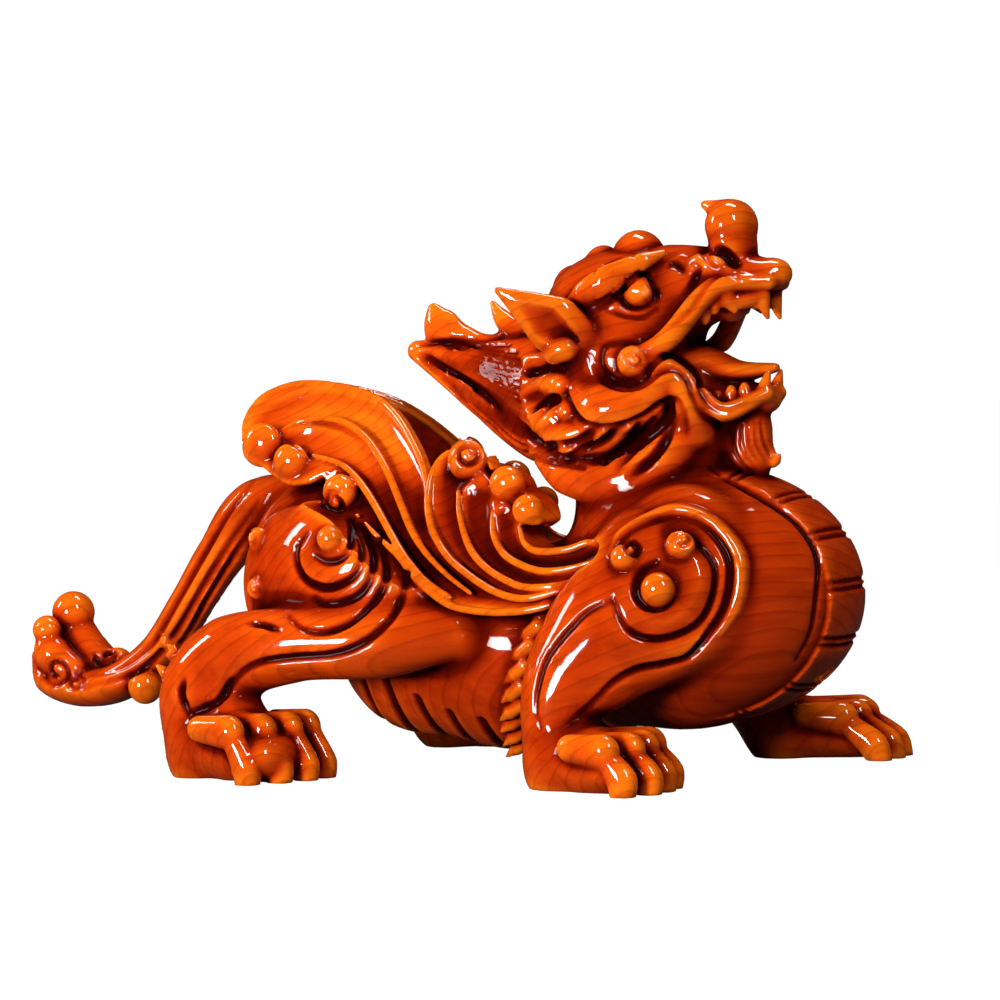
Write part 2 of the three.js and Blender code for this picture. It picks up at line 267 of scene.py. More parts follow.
def plank(outline, faces, blend, rounded=2.0, cut=False):
    """Adds or cuts the shape inside an outline of x and z, between two faces that give y at height z."""
    low = np.array([outline[:, 0].min(), -100, outline[:, 1].min()]) - blend - 3
    high = np.array([outline[:, 0].max(), 100, outline[:, 1].max()]) + blend + 3
    part, (x, y, z) = wood.window(low, high)
    one, other = faces(z)
    slab = np.abs(y - (one + other) / 2) - np.abs(one - other) / 2
    distance = -smallest(-outline_distance(outline, x, z), -slab, rounded)
    wood.apply(part, distance.astype(np.float32), blend, cut)


def on_side(side, points):
    """Points given with their distance from the middle as y, on one flank."""
    return [(x, side * y, z) for x, y, z in points]


FORE_STRIDE, HIND_STRIDE, STRIDE_TOP = 43.5, 50.0, 80.0


def striding(side, stride, points):
    """A leg's points on one flank. The left paws stand a stride ahead, which fades out up the leg."""
    lead = stride if side == LEFT else 0.0
    return [(x + lead * min(max(1 - z / STRIDE_TOP, 0), 1), side * y, z) for x, y, z in points]


def rays(pixels):
    """The directions in which the photograph's camera sees some of its pixels."""
    pixels = np.asarray(pixels, float)
    right, down = pixels[:, :1] - PHOTO_PIXELS / 2, pixels[:, 1:] - PHOTO_PIXELS / 2
    directions = (EYE_RIGHT * right - EYE_UP * down) / FOCAL_PIXELS - EYE_BACK
    return directions / np.linalg.norm(directions, axis=1, keepdims=True)


def spots(pixels):
    """The points of the wood that are seen at some pixels of the photograph."""
    directions = rays(pixels)
    return wood.hit(EYE + directions * (CAMERA_DISTANCE - FIGURE_REACH), directions, 2 * FIGURE_REACH)


def seen(pixels, step=3.0):
    """The smooth line through some pixels of the photograph, carried onto the wood that is seen there."""
    return spots(spline(pixels, step)[0])


def settle(line, strides=3):
    """A line drawn near the wood's surface, moved along its normals to lie on it."""
    for _ in range(strides):
        line = line - wood.normals(line) * np.clip(wood.at(line), -4, 4)[:, None]
    return line


def flanks(line):
    """A line seen on the right flank, and its twin on the left one."""
    return line, settle(line * MIRROR)


def ease(count, start=1.0, end=1.0, share=0.3):
    """Weights along a line that fall to start and end over a share of it."""
    t = np.linspace(0, 1, count)
    return np.minimum(start + (1 - start) * np.clip(t / share, 0, 1),
                      end + (1 - end) * np.clip((1 - t) / share, 0, 1))


def groove(line, depth, radius, start=0.2, end=0.2):
    """Cuts a round-bottomed groove along a line on the wood, shallower towards its ends."""
    weight = ease(len(line), start, end)
    out = smooth(wood.normals(line))
    tube(line + out * (radius - depth * weight)[:, None], radius, blend=0.8, cut=True)


def cut_lines(lines, depth, radius, start=0.3, end=0.3):
    """Cuts a groove along each of some lines of pixels, on both flanks."""
    for pixels in lines:
        for line in flanks(seen(pixels)):
            groove(line, depth, radius, start, end)


def roll(line, height, radius, start=0.2, end=0.2, blend=1.5, out=None, taper=0.3):
    """Raises a round roll along a line on the wood, thinner towards its ends over the share taper of it."""
    weight = ease(len(line), start, end, taper)
    out = smooth(wood.normals(line)) if out is None else out
    tube(line + out * ((height - radius) * weight)[:, None], radius * weight, blend=blend)


WIDEST_CHANNEL = 14.0


def channel(one, other, depth, rim=1.2, out=None):
    """Hollows the band between two lines on the wood, leaving a rim along each."""
    count = max(len(one), len(other)) * 2 // 3
    one, other = evenly(one, count), evenly(other, count)
    half = np.maximum(np.linalg.norm(one - other, axis=1) / 2 - rim, 0.4)
    deep = np.minimum(depth, 0.6 * half) * ease(count, 0.6, 0.6)
    radius = np.minimum((half**2 + deep**2) / (2 * deep), WIDEST_CHANNEL)
    middle = (one + other) / 2
    if out is None:
        middle = settle(middle)
        out = smooth(wood.normals(middle))
    tube(middle + out * (radius - deep)[:, None], radius, blend=0.6, cut=True)


def strands(one, other, count, depth, radius, start=0.2, end=0.2):
    """Cuts count grooves between two lines of pixels, each running from the first towards the second."""
    one, other = (spline(pixels, 3.0)[0] for pixels in (one, other))
    points = max(len(one), len(other))
    one, other = evenly(one, points), evenly(other, points)
    for share in (np.arange(count) + 0.5) / count:
        for line in flanks(spots(one + (other - one) * share)):
            groove(smooth(line), depth, radius, start, end)


# A spiral's points in each turn, and the share of its radius by which it closes.
SCROLL_POINTS, SCROLL_CLOSES = 24, 0.72


def scroll(centre, radius, turns, start, depth=1.5, wide=1.1):
    """Cuts a spiral round a point on the wood, starting at an angle in degrees. turns below 0 wind the
    other way."""
    out = wood.normals(centre[None])[0]
    ahead = np.array([1.0, 0, 0]) - out[0] * out
    ahead /= np.linalg.norm(ahead)
    above = np.array([0, 0, 1.0]) - out[2] * out
    above -= above.dot(ahead) * ahead
    above /= np.linalg.norm(above)
    share = np.linspace(0, 1, int(SCROLL_POINTS * abs(turns)) + 2)[:, None]
    angle = np.radians(start + 360 * turns * share)
    reach = radius * (1 - SCROLL_CLOSES * share)
    line = settle(centre + reach * (np.cos(angle) * ahead + np.sin(angle) * above))
    groove(line, depth, wide, 0.5, 0.5)


CHEST, CHEST_RADII = np.array([135.0, 0.0, 72.5]), np.array([62.0, 57.0, 50.5])
PLATE_HALF, PLATE_PROUD, PLATE_BACK = 18.0, 1.5, 8.0
PLATE_JOINTS, JOINT_PAIR = (70, 49, 27, 3, -23, -48, -72), 3.5
BELLY_STEPS, BELLY_FIRST, BELLY_LAST, BELLY_HALF = 9, -28.0, 92.0, 34.0
BELOW_GROUND, BELLY_REACH = -4.0, 80.0


def carve_trunk():
    """Chest, belly, waist, rump, the belly's lowest part and the neck."""
    lump(CHEST, CHEST_RADII, blend=4)
    lump((52, 0, 50), (66, 45, 43), blend=22)
    lump((10, 0, 64), (52, 40, 42), blend=14)
    lump((-33, 0, 85), (42, 45, 40), blend=14)
    lump((4, 0, 43), (35, 28, 30), blend=8)
    limb([(124, 0, 56), (122, 0, 84), (111, 0, 116), (105, 0, 144), (102, 0, 180)], [37, 36, 32, 30, 28],
         blend=12)


def carve_plates():
    """The band of plates down the middle of the chest, each parted from the next by two lines."""
    part, (x, y, z) = wood.window(CHEST - CHEST_RADII - 6, CHEST + CHEST_RADII + 6)
    radii = CHEST_RADII + PLATE_PROUD
    near = np.sqrt(sum(((c - m) / r) ** 2 for c, m, r in zip((x, y, z), CHEST, radii)))
    shell = (near - 1) * radii.min()
    behind = CHEST[0] - PLATE_BACK - x
    band = np.maximum(np.maximum(shell, behind), np.abs(y) - PLATE_HALF)
    wood.apply(part, band.astype(np.float32), 0.8, False)
    across = np.linspace(-PLATE_HALF, PLATE_HALF, 25)
    for degrees in PLATE_JOINTS:
        for shift in (0, JOINT_PAIR):
            angle = radians(degrees + shift)
            ring = np.sqrt(1 - (across / CHEST_RADII[1]) ** 2)
            line = np.stack([CHEST[0] + radii[0] * ring * cos(angle), across,
                             CHEST[2] + radii[2] * ring * sin(angle)], -1)
            groove(settle(line), 1.3, 1.0, 0.8, 0.8)


def carve_belly():
    """Broad plates across the underside, each parted from the next by a groove."""
    across = np.linspace(-BELLY_HALF, BELLY_HALF, 35)
    for x in np.linspace(BELLY_FIRST, BELLY_LAST, BELLY_STEPS):
        starts = np.stack([np.full_like(across, x), across, np.full_like(across, BELOW_GROUND)], -1)
        line = wood.hit(starts, np.tile([0.0, 0.0, 1.0], (len(starts), 1)), BELLY_REACH)
        line = line[line[:, 2] > 2]
        if len(line) > 6:
            groove(line, 3.2, 2.6, 0.5, 0.5)


CHEST_LINE = [(711, 469), (736, 485), (771, 505), (793, 521), (807, 537), (816, 555), (818, 580),
              (811, 630), (796, 660)]


# The toes, as x and the distance from the middle of each right one's claw, and their height.
FORE_TOES, FORE_TOE_HEIGHT = ((137.5, 88), (143.5, 77.5), (144.5, 67), (142.5, 56.5)), 24
HIND_TOES, HIND_TOE_HEIGHT = ((-30, 91), (-21, 80.5), (-15, 70), (-13, 59.5)), 28


def carve_foreleg(side):
    """The arm down to its wrist, the paw and its toes."""
    def leg(points, wide, thick, blend):
        limb(striding(side, FORE_STRIDE, points), wide, thick, blend)

    leg([(142, 38, 98), (134, 46, 76), (114, 54, 57), (99, 61, 36), (98, 64, 6)],
        [20, 34, 26, 17, 13], [12, 18, 19, 17, 15], blend=7)
    leg([(94, 63, 9), (100, 65, 10), (117, 70, 11), (131, 73, 9)], [8, 14, 14, 10], [9, 15, 17, 18],
        blend=6)
    for x, y in FORE_TOES:
        carve_toe(side, FORE_STRIDE, x, y, FORE_TOE_HEIGHT)


# Where the tufts at the back of the hind shank grow, as pairs of root and tip.
HOCK_TUFTS = (((-72, 68, 48), (-85, 70, 59)), ((-72, 69, 39), (-86, 71, 46)),
              ((-72, 69, 30), (-84, 72, 33)), ((-72, 69, 20), (-83, 72, 20)),
              ((-72, 69, 10), (-81, 72, 8)))


def carve_hindleg(side):
    """The haunch, the shank down to its heel, the paw, the tufts behind it and its toes."""
    def leg(points, wide, thick, blend):
        limb(striding(side, HIND_STRIDE, points), wide, thick, blend)

    lump((-7, side * 42, 80), (43, 22, 36), blend=6, pitch=12)
    lump((-38, side * 38, 78), (23, 16, 31), blend=6)
    leg([(40, 46, 60), (14, 57, 56), (-20, 63, 55), (-52, 66, 49), (-69, 68, 34), (-70, 67, 6)],
        [12, 15, 15, 18, 15, 11], [10, 15, 16, 16, 15, 13], blend=7)
    leg([(-75, 65, 9), (-65, 67, 12), (-46, 72, 14), (-27, 74, 10)], [8, 13, 16, 11], [8, 14, 17, 19],
        blend=6)
    leg([(-60, 68, 34), (-46, 70, 26)], [10, 8], [10, 10], blend=8)
    for root, tip in HOCK_TUFTS:
        middle = tuple((a + b) / 2 - c for a, b, c in zip(root, tip, (0, 0, 1.5)))
        leg([root, middle, tip], [5, 4, 0.8], [6, 4.5, 1], blend=1.2)
    for x, y in HIND_TOES:
        carve_toe(side, HIND_STRIDE, x, y, HIND_TOE_HEIGHT)


def carve_toe(side, stride, x, y, height):
    """One toe: a knuckle, and below and ahead of it a rounded claw that meets the ground."""
    limb(striding(side, stride, [(x - 24, y - 2, height - 6), (x - 9, y, height - 7)]), [5.5, 7.2],
         [5, 5.7], blend=1.6)
    limb(striding(side, stride, [(x - 6, y, height - 11), (x - 1, y, 6), (x - 1, y, -2)]), [5, 6.4, 4.8],
         [4.6, 5.2, 4.4], blend=0.7)


# The shoulder: a roll that winds round it from a small curl, a crescent and a disc with a boss inside that.
SHOULDER_ROLL = [(613, 553), (622, 534), (646, 520), (673, 512), (700, 518), (722, 533), (738, 556),
                 (741, 582), (737, 607), (722, 632)]
SHOULDER_CRESCENT = [(614, 551), (626, 534), (646, 523), (670, 517), (692, 520), (710, 532), (725, 551),
                     (730, 569), (728, 595), (719, 619), (692, 655), (667, 664), (637, 670), (615, 682),
                     (595, 701), (569, 724)]
SHOULDER_DISC = [(692, 540), (705, 551), (715, 569), (713, 595), (702, 619), (682, 633), (658, 639),
                 (637, 635), (621, 621), (613, 598)]
SHOULDER_BOSS, SHOULDER_BOSS_RADIUS, SHOULDER_BOSS_RING = (658, 590), 7.0, 11.0
SHOULDER_CURLS = (((624, 558), 5.5, 1.1, 60), ((680, 546), 6.0, -1.1, 200))
ARM_LINE = [(611, 601), (588, 612), (569, 630), (556, 645), (545, 662), (537, 690), (536, 712), (541, 728)]
ARM_FRILL = [(546, 612), (531, 636), (522, 662), (517, 690), (516, 718), (522, 744)]
FRILL_TUFTS, FRILL_SIZE, FRILL_TIP = 9, 3.4, np.array([-7.5, 0.0, -5.5])


def carve_shoulder():
    for line in flanks(seen(SHOULDER_ROLL)):
        roll(line, 2.6, 4.2, 0.5, 0.3)
    cut_lines([SHOULDER_CRESCENT], 2.6, 1.8, 0.4, 0.2)
    for one, other in zip(flanks(seen(SHOULDER_CRESCENT[2:12])), flanks(seen(SHOULDER_DISC))):
        channel(one, other, 1.6, rim=1.6)
    cut_lines([SHOULDER_DISC], 2.0, 1.4, 0.5, 0.3)
    cut_lines([ARM_LINE], 1.8, 1.6, 0.3, 0.2)
    for centre in flanks(spots([SHOULDER_BOSS])):
        scroll(centre[0], SHOULDER_BOSS_RING, 0.9, 100, 2.4, 2.2)
        lump(centre[0], [SHOULDER_BOSS_RADIUS, 6.0, SHOULDER_BOSS_RADIUS], blend=0.6)
    for pixel, radius, turns, start in SHOULDER_CURLS:
        for centre in flanks(spots([pixel])):
            lump(centre[0], [radius, 5.0, radius], blend=0.8)
            scroll(settle(centre)[0], radius, turns, start, 2.2, 1.2)
    for line in flanks(seen(ARM_FRILL)):
        carve_frill(line, FRILL_TUFTS, FRILL_SIZE)


def carve_frill(line, tufts, size):
    """A row of small pointed tufts along the edge of a leg, which lie back over each other."""
    for place in evenly(line, tufts):
        tip = place + FRILL_TIP
        tube([place - 0.3 * FRILL_TIP, place + 0.3 * FRILL_TIP, tip], [size, size * 0.9, size * 0.15],
             blend=0.6)


# The hip: a ball, the crescent rolls that wrap round it, and the folds down the leg.
HIP_BALL = (330, 539)
HIP_GROOVES = (
    [(349, 518), (352, 529), (351, 546), (340, 559), (326, 562), (315, 556)],
    [(307, 533), (297, 548), (297, 566), (308, 582), (328, 588), (349, 580), (361, 564), (362, 545),
     (353, 520)],
    [(314, 598), (326, 604), (346, 601), (362, 592), (373, 572), (373, 549), (358, 518)],
    [(288, 615), (302, 628), (322, 632), (345, 625), (366, 610), (382, 590), (387, 568), (377, 535)],
    [(408, 571), (404, 592), (394, 614), (376, 633), (355, 647), (330, 655), (293, 658), (264, 662),
     (246, 670), (233, 683), (221, 696)],
    [(249, 623), (264, 624), (279, 630)],
    [(184, 680), (181, 695), (189, 714)],
    [(232, 680), (223, 697), (206, 708), (192, 713)],
)
REAR_CURLS = (((258, 539), 5.0), ((257, 588), 4.5))


def carve_hip():
    cut_lines(HIP_GROOVES, 2.4, 1.9)
    for centre in flanks(spots([HIP_BALL])):
        lump(centre[0], [5.5, 5.0, 5.5], blend=1.0)
    for pixel, radius in REAR_CURLS:
        for centre in flanks(spots([pixel])):
            lump(centre[0], [radius, 3.5, radius], blend=1.5)
            scroll(settle(centre)[0], radius, 1.0, 90)


# The wing is a blade that leans in over the back. Its lower fan has three plumes and its front fan, which
# lies over it, has three more. Every plume is hollow between its rims and ends in a curl.
# At height WING_Z the blade's face stands WING_Y from the middle, and above WING_BENDS it bends inwards.
# It leaves the flank, WING_THICK deep, at height WING_LEAVES, and from WING_FREE up it is WING_THIN.
# Its inner face stays WING_GAP or more from the middle, and the front fan stands FRONT_PROUD of the lower.
WING_Z, WING_Y, WING_LEAN = 70.0, 56.0, 0.42
WING_BENDS, WING_BEND = 120.0, 0.006
WING_THIN, WING_THICK, WING_LEAVES, WING_FREE = 9.0, 28.0, 75.0, 125.0
WING_GAP = 2.5
# How far the left plumes sweep back from the right ones, fading in over SWEEP_RUN behind SWEEP_ROOT.
FRONT_SWEEP, BACK_SWEEP, SWEEP_ROOT, SWEEP_RUN = 37.0, 9.0, 116.0, 30.0
FRONT_PROUD = 3.0
TOP_LINE = [(243, 440), (246, 418), (264, 395), (301, 383), (344, 387), (378, 399), (397, 417),
            (411, 440), (422, 465), (427, 490), (428, 515), (435, 535), (449, 557), (471, 578),
            (500, 594)]
SECOND_LINE = [(281, 431), (296, 422), (320, 418), (344, 422), (366, 438), (381, 460), (391, 481),
               (401, 506), (411, 530), (425, 552), (446, 574), (470, 593)]
THIRD_LINE = [(313, 455), (337, 462), (352, 473), (366, 491), (378, 511), (390, 533), (404, 556),
              (424, 579), (450, 597)]
LOWER_LINE = [(356, 515), (376, 535), (398, 556), (412, 575), (428, 590), (446, 603), (465, 609),
              (494, 612), (526, 610), (555, 603), (591, 588), (611, 583)]
FRONT_LINE = [(462, 446), (442, 456), (431, 474), (427, 496), (428, 515), (434, 535), (448, 557),
              (470, 576), (494, 591), (519, 598), (543, 595), (579, 583), (605, 570)]
FIFTH_LINE = [(458, 491), (459, 515), (468, 545), (482, 564), (502, 578), (526, 587), (560, 584),
              (597, 572)]
SIXTH_LINE = [(492, 513), (493, 535), (504, 554), (524, 566), (545, 571), (570, 568), (596, 560)]
UPPER_LINE = [(519, 527), (524, 543), (538, 551), (567, 549), (592, 542), (610, 556)]
LOWER_TIPS = [(334, 504), (322, 492), (322, 478), (308, 484), (288, 486), (272, 477), (258, 466),
              (243, 456)]
FRONT_TIPS = [(530, 529), (541, 520), (538, 500), (524, 490), (519, 477), (502, 467), (488, 470),
              (484, 452)]
LOWER_CURLS = (((262, 445), 9.5, 1.3, 60), ((291, 462), 8.0, 1.3, 60), ((340, 492), 7.5, 1.3, 60))
FRONT_CURLS = (((467, 460), 8.5, -1.3, 100), ((507, 484), 7.5, -1.3, 100), ((528, 510), 6.5, -1.3, 100))


def wing_face(z, proud=0.0):
    """How far the wing's face stands from the middle at height z."""
    return WING_Y - WING_LEAN * (z - WING_Z) - WING_BEND * np.maximum(z - WING_BENDS, 0) ** 2 + proud


def on_wing(side, pixels, proud=0.0, sweep=0.0, step=3.0):
    """The smooth line through some pixels of the photograph, on the face of one wing."""
    directions = rays(spline(pixels, step)[0])
    reach = np.full(len(directions), CAMERA_DISTANCE)
    for _ in range(8):
        points = EYE + directions * reach[:, None]
        reach -= (wing_face(points[:, 2], proud) + points[:, 1]) / directions[:, 1]
    if side == LEFT:
        points = points * MIRROR
        points[:, 0] -= sweep * np.clip((SWEEP_ROOT - points[:, 0]) / SWEEP_RUN, 0, 1)
    return points


def carve_fan(side, edges, tips, curls, proud, sweep):
    """Hollow plumes between edges, the lowest one first, which end in tips and in curls."""
    out = np.array([0, side, WING_LEAN]) / np.hypot(1, WING_LEAN)
    lines = [on_wing(side, pixels, proud, sweep) for pixels in edges]
    outline = np.vstack([lines[0], lines[-1][::-1], on_wing(side, tips, proud, sweep)])[:, [0, 2]]

    def faces(z):
        leaving = np.clip((z - WING_LEAVES) / (WING_FREE - WING_LEAVES), 0, 1)
        thick = WING_THICK + (WING_THIN - WING_THICK) * leaving
        return side * wing_face(z, proud), side * np.maximum(wing_face(z) - thick, WING_GAP)

    plank(outline, faces, blend=1.5, rounded=3.0)
    for one, other in zip(lines, lines[1:]):
        channel(one, other, 4.2, rim=0.8, out=out)
    for line in lines:
        roll(line, 1.0, 1.6, 0.6, 0.6, blend=0.6, out=out)
    for pixel, radius, turns, start in curls:
        centre = on_wing(side, [pixel, pixel], proud, sweep)[0]
        lump(centre, [radius, 6.0, radius], blend=1.0)
        scroll(settle(centre[None])[0], radius * 0.9, turns, start, 2.6, 1.4)


def carve_wing(side):
    carve_fan(side, [LOWER_LINE, THIRD_LINE, SECOND_LINE, TOP_LINE], LOWER_TIPS[::-1], LOWER_CURLS, 0.0,
              BACK_SWEEP)
    carve_fan(side, [FRONT_LINE, FIFTH_LINE, SIXTH_LINE, UPPER_LINE], FRONT_TIPS[::-1], FRONT_CURLS,
              FRONT_PROUD, FRONT_SWEEP)


TAIL_GROOVES = (
    [(255, 478), (229, 512), (205, 551), (185, 586), (167, 618), (152, 643), (134, 660), (112, 672),
     (90, 676)],
    [(258, 500), (232, 540), (205, 585), (182, 625), (162, 652), (144, 668), (122, 678), (97, 684),
     (81, 690)],
    [(253, 525), (232, 560), (210, 596), (192, 628), (174, 655)],
)
TAIL_CURLS = (((57, 671), 7.5, 1.2, 200), ((75, 682), 4.5, -1.2, 90), ((107, 656), 6.0, 1.0, 180))


def carve_tail():
    """The tail, the curled locks at its end with their balls, and two knobs beside it."""
    limb([(-44, 0, 111), (-78, 0, 107.5), (-97, 0, 89), (-113, 0, 68), (-131, 0, 45.5), (-152, 0, 32),
          (-171, 0, 29.5), (-186, 0, 33), (-193, 0, 43)], [13, 13.5, 10.5, 9, 8.5, 8.5, 9, 8, 4],
         [14, 13, 12, 12, 12, 14, 16, 14, 8], blend=6)
    limb([(-160, 5, 34), (-172, 5, 44), (-178, 5, 54)], [9, 9.5, 8], blend=2)
    lump((-180, 5, 62), (9.5, 9.5, 9.5), blend=1)
    limb([(-174, -6, 36), (-183, -7, 44), (-185, -7, 50)], [8, 8.5, 6], blend=2)
    lump((-186, -7, 55), (6.5, 6.5, 6.5), blend=1)
    lump((-158, 6, 40), (6.5, 8, 6.5), blend=1)
    lump((-134, -8, 31), (7.5, 8, 8), blend=1)
    cut_lines(TAIL_GROOVES, 2.2, 1.9, 0.2, 0.2)
    for pixel, radius, turns, start in TAIL_CURLS:
        for centre in flanks(spots([pixel])):
            scroll(centre[0], radius, turns, start, 1.8, 1.3)


# The open mouth from the side, as x and z.
MOUTH = np.array([(118.0, 164.0), (132.0, 173.0), (143.0, 183.0), (153.0, 188.0), (215.0, 199.0),
                  (215.0, 151.0)])
MOUTH_HALF = 40.0
CROWN_BUMPS = (((107, 0, 208), (11, 13, 12.5)), ((91, 0, 203), (8.5, 12, 12)),
               ((77.5, 0, 196), (9, 11, 11.5)))


def carve_head():
    """Skull, jaws, the mouth cut between them, tongue, cheeks, crown, nose, chin and beard."""
    lump((101, 0, 185), (33, 32, 28), blend=6)
    limb([(90, 0, 188), (122, 0, 195), (146, 0, 198), (165, 0, 200)], [21, 19, 13, 6.5], [26, 22, 16, 9],
         blend=5)
    limb([(84, 0, 154), (107, 0, 149), (140, 0, 148), (162, 0, 151)], [17, 20, 11, 6], [26, 28, 17, 8],
         blend=5)
    plank(MOUTH, lambda z: (-MOUTH_HALF + 0 * z, MOUTH_HALF + 0 * z), blend=2.0, cut=True)
    limb([(108, 0, 160), (133, 0, 166), (150, 0, 162), (166, 0, 163)], [10, 6.5, 4.5, 2], [12, 12, 9, 3],
         blend=2)
    for side in (RIGHT, LEFT):
        lump((102, side * 22, 165), (22, 13, 20), blend=6)
    for centre, radii in CROWN_BUMPS:
        lump(centre, radii, blend=0.8)
    limb([(147, 0, 190), (149, 0, 203), (149, 0, 212)], [8, 9, 9.5], [11, 12, 12], blend=2)
    lump((148.5, 0, 220.5), (10.5, 12, 10.7), blend=2)
    limb([(145, 0, 226), (137, 0, 229.5)], [5, 1.8], blend=2)
    lump((166, 0, 200.5), (8, 7.5, 6.5), blend=1)
    lump((157, 0, 150), (6, 7.5, 6), blend=1)
    limb([(156, 0, 150), (155, 0, 139), (155, 0, 129), (158, 0, 121)], [6, 8.5, 9.5, 4], [7, 9, 9, 4],
         blend=2)
    limb([(158, 0, 132), (164, 0, 126), (167, 0, 128)], [5, 3, 1], blend=1)


NOSTRILS = [(716, 250), (726, 255), (738, 264)]
SNOUT_FOLDS = ([(669, 268), (676, 263), (684, 274)], [(690, 262), (698, 268), (694, 281), (686, 293)],
               [(701, 249), (709, 259), (722, 268)])
PUPIL = (645, 293)
SOCKET = [(600, 309), (612, 300), (624, 288), (637, 276), (645, 274), (652, 284), (657, 300)]
LID = [(606, 310), (618, 314), (630, 317), (645, 317), (657, 309)]
CORNER_KNOB = (636, 359)
CORNER_RING = [(634, 343), (619, 343), (605, 347), (601, 362), (609, 376), (624, 383), (642, 379),
               (653, 364), (666, 356), (684, 362), (695, 374), (703, 393), (714, 407), (730, 411),
               (750, 402)]
JOWL_TOP = [(592, 359), (603, 380), (622, 388), (643, 384), (661, 371), (676, 369), (688, 379),
            (694, 396), (704, 416), (722, 424)]
JOWL_BOTTOM = [(563, 360), (565, 393), (580, 420), (599, 428), (622, 426), (645, 416), (663, 403),
               (676, 401), (684, 415), (688, 433)]
LIP_ARCH = [(650, 341), (667, 328), (681, 319), (693, 308), (700, 296), (708, 283), (720, 275),
            (733, 274), (744, 281)]
BROW_TOP = [(577, 290), (591, 272), (607, 260), (626, 255), (643, 256)]
BROW_BOTTOM = [(582, 302), (600, 303), (612, 296), (626, 283), (645, 267)]
FACE_LINES = ((NOSTRILS, 4.0, 3.0), (SOCKET, 2.0, 1.5), (LID, 1.4, 1.2), (CORNER_RING, 2.2, 1.7),
              (JOWL_TOP, 2.0, 1.8), (JOWL_BOTTOM, 2.2, 2.0), (LIP_ARCH, 1.4, 1.4))
BEARD_LEFT = [(734, 418), (729, 438), (733, 458), (750, 474)]
BEARD_RIGHT = [(764, 420), (768, 440), (774, 452), (776, 462)]


def carve_face(side):
    """One side of the face: jowl, lips, mouth corner, eye, nostril, brow, ear, fangs and teeth."""
    def trace(points, wide, thick=None, blend=2.0, cut=False):
        limb(on_side(side, points), wide, thick, blend, cut)

    def bead(x, y, z, radii, blend=1.0, cut=False):
        lump((x, side * y, z), radii, blend, cut=cut)

    trace([(84, 22, 158), (106, 33, 148), (120, 31, 151), (132, 28, 159), (139, 25, 150), (140, 18, 138)],
          [8, 11, 9, 7, 6, 5], blend=4)
    trace([(113, 31, 161), (130, 29, 165), (142, 22, 153), (151, 17, 146), (165, 6, 153)], [3, 4, 4, 4, 3])
    trace([(118, 30, 168), (131, 27, 175), (144, 19, 192), (153, 15, 197), (167, 7, 197)],
          [4, 4.5, 4.5, 4, 3])
    bead(119, 33, 167, (6.5, 6, 6.5), 1.0)
    bead(121, 29, 195, (11, 7, 9), 1.0, cut=True)
    bead(118, 24, 195, (6.5, 6.5, 6.5), 0.5)
    bead(143, 13, 204, (9, 6, 6), 1.0)
    trace([(86, 27, 188), (98, 31, 195), (108, 31, 200), (119, 26, 206), (127, 19, 210)],
          [2, 5.5, 6, 4, 1.5], [2, 4, 4.5, 4, 2], blend=1.5)
    trace([(100, 28, 169), (87, 38, 182.5), (66, 46, 197)], [8, 12, 1.5], [4, 5.5, 1.5], blend=2)
    trace([(95, 40, 175), (86, 47, 183), (74, 51, 192)], [4, 8.5, 2.5], [5, 7, 4], blend=0.8, cut=True)
    trace([(147, 15, 191), (156, 11, 190), (164, 6, 192)], [2.5, 3.5, 3], blend=1.5)
    trace([(151, 12, 199), (152, 13, 192), (155, 13, 186)], [5.2, 4.2, 1.2], blend=0.7)
    trace([(163, 5, 197), (164, 6, 190), (166, 6, 183)], [3.6, 3, 1.0], blend=0.7)
    trace([(162, 5, 150), (164, 6, 156), (166, 6, 162)], [3.2, 2.6, 0.9], blend=0.7)
    for x, y, z in ((143, 16, 185), (147, 15, 189), (157, 9, 191), (161, 7, 191)):
        bead(x, y, z, (2.6, 2.4, 4.4), 0.6)
    for x, y, z in ((147, 14, 151), (152, 12, 153), (157, 10, 154)):
        bead(x, y, z, (2.3, 2.4, 3.8), 0.6)


def carve_face_lines():
    for pixels, depth, radius in FACE_LINES:
        cut_lines([pixels], depth, radius)
    cut_lines(SNOUT_FOLDS, 1.8, 1.8, 0.2, 0.2)
    for centre in flanks(spots([PUPIL])):
        lump(centre[0], (2.6, 2.0, 2.6), blend=0.6)
    for centre in flanks(spots([CORNER_KNOB])):
        scroll(centre[0], 4.5, 1.2, 120, 1.4, 0.9)
    strands(BROW_TOP, BROW_BOTTOM, 7, 0.9, 0.8)
    strands(BEARD_LEFT, BEARD_RIGHT, 5, 1.1, 1.0)


